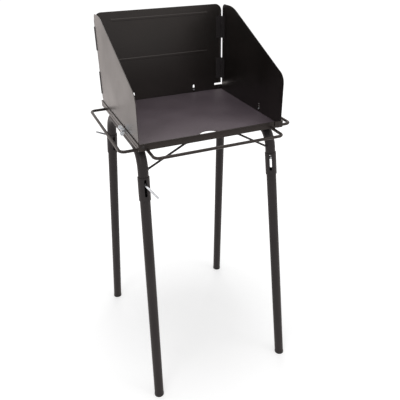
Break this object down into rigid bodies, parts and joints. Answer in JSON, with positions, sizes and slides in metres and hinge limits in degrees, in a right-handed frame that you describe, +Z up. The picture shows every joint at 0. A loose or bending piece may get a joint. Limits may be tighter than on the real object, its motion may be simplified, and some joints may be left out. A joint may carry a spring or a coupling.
{
  "type": "cook table",
  "caption": "Standing dutch oven cook table with a folding three-sided windscreen, rod tool rails and splayed levelling legs",
  "frame": {"origin": "on the floor under the middle of the tray", "axes": "+Z up, +Y to the rear where the back panel stands, +X to the right seen from the open front"},
  "size_m": [0.493, 0.5394, 1.064],
  "materials": {
    "black_coat": "satin black powder coat",
    "plate_coat": "satin dark grey heat coating",
    "zinc": "bright zinc plate",
    "cap": "moulded black plastic"
  },
  "bodies": {
    "stand": {"front_rail": "black_coat", "rear_rail": "black_coat", "left_rail": "black_coat", "right_rail": "black_coat", "cook_plate": "plate_coat", "corner_screws": "black_coat", "corner_nuts": "black_coat", "left_leg_frame": "black_coat", "right_leg_frame": "black_coat", "front_brace": "black_coat", "rear_brace": "black_coat", "left_tool_rail": "black_coat", "right_tool_rail": "black_coat", "front_tool_rail": "black_coat", "back_panel": "black_coat", "left_fixed_leaves": "black_coat", "right_fixed_leaves": "black_coat", "left_hinge_pins": "zinc", "right_hinge_pins": "zinc", "front_left_collar": "black_coat", "front_right_collar": "black_coat", "rear_left_collar": "black_coat", "rear_right_collar": "black_coat"},
    "left_screen": {"left_side_panel": "black_coat", "left_moving_leaves": "black_coat"},
    "right_screen": {"right_side_panel": "black_coat", "right_moving_leaves": "black_coat"},
    "left_wing_screw_body": {"left_wing_screw": "zinc"},
    "right_wing_screw_body": {"right_wing_screw": "zinc"},
    "rear_left_wing_screw_body": {"rear_left_wing_screw": "zinc"},
    "rear_right_wing_screw_body": {"rear_right_wing_screw": "zinc"},
    "front_left_lower_leg": {"front_left_leg": "black_coat", "front_left_foot_cap": "cap", "front_left_clamp_nut": "black_coat"},
    "front_left_clamp": {"front_left_clamp_pin": "zinc"},
    "front_right_lower_leg": {"front_right_leg": "black_coat", "front_right_foot_cap": "cap", "front_right_clamp_nut": "black_coat"},
    "front_right_clamp": {"front_right_clamp_pin": "zinc"},
    "rear_left_lower_leg": {"rear_left_leg": "black_coat", "rear_left_foot_cap": "cap", "rear_left_clamp_nut": "black_coat"},
    "rear_left_clamp": {"rear_left_clamp_pin": "zinc"},
    "rear_right_lower_leg": {"rear_right_leg": "black_coat", "rear_right_foot_cap": "cap", "rear_right_clamp_nut": "black_coat"},
    "rear_right_clamp": {"rear_right_clamp_pin": "zinc"}
  },
  "joints": [
    {"name": "left_screen_fold", "type": "hinge", "parent": "stand", "child": "left_screen", "pos_m": [-0.1996, 0.1823, 0.8685], "axis": [0, 0, 1], "range_deg": [0, 90]},
    {"name": "right_screen_fold", "type": "hinge", "parent": "stand", "child": "right_screen", "pos_m": [0.1996, 0.1856, 0.8685], "axis": [0, 0, -1], "range_deg": [0, 90]},
    {"name": "left_wing_screw_turn", "type": "hinge", "parent": "stand", "child": "left_wing_screw_body", "pos_m": [-0.2025, -0.068, 0.807], "axis": [-1, 0, 0], "continuous": true},
    {"name": "right_wing_screw_turn", "type": "hinge", "parent": "stand", "child": "right_wing_screw_body", "pos_m": [0.2025, -0.068, 0.807], "axis": [1, 0, 0], "continuous": true},
    {"name": "rear_left_wing_screw_turn", "type": "hinge", "parent": "stand", "child": "rear_left_wing_screw_body", "pos_m": [-0.101, 0.193, 0.807], "axis": [0, 1, 0], "continuous": true},
    {"name": "rear_right_wing_screw_turn", "type": "hinge", "parent": "stand", "child": "rear_right_wing_screw_body", "pos_m": [0.101, 0.193, 0.807], "axis": [0, 1, 0], "continuous": true},
    {"name": "front_left_leg_slide", "type": "slide", "parent": "stand", "child": "front_left_lower_leg", "axis": [-0.0398, -0.1253, -0.9913], "range_m": [0, 0.029]},
    {"name": "front_left_clamp_turn", "type": "hinge", "parent": "front_left_lower_leg", "child": "front_left_clamp", "pos_m": [-0.18855, -0.16755, 0.69156], "axis": [0.005, -0.9921, 0.1252], "continuous": true},
    {"name": "front_right_leg_slide", "type": "slide", "parent": "stand", "child": "front_right_lower_leg", "axis": [0.0398, -0.1253, -0.9913], "range_m": [0, 0.029]},
    {"name": "front_right_clamp_turn", "type": "hinge", "parent": "front_right_lower_leg", "child": "front_right_clamp", "pos_m": [0.18855, -0.16755, 0.69156], "axis": [0.5338, 0.8414, -0.0849], "continuous": true},
    {"name": "rear_left_leg_slide", "type": "slide", "parent": "stand", "child": "rear_left_lower_leg", "axis": [-0.0398, 0.1253, -0.9913], "range_m": [0, 0.029]},
    {"name": "rear_left_clamp_turn", "type": "hinge", "parent": "rear_left_lower_leg", "child": "rear_left_clamp", "pos_m": [-0.18855, 0.16755, 0.69156], "axis": [-0.1686, 0.977, 0.1303], "continuous": true},
    {"name": "rear_right_leg_slide", "type": "slide", "parent": "stand", "child": "rear_right_lower_leg", "axis": [0.0398, 0.1253, -0.9913], "range_m": [0, 0.029]},
    {"name": "rear_right_clamp_turn", "type": "hinge", "parent": "rear_right_lower_leg", "child": "rear_right_clamp", "pos_m": [0.18855, 0.16755, 0.69156], "axis": [0.1686, 0.977, 0.1303], "continuous": true}
  ]
}
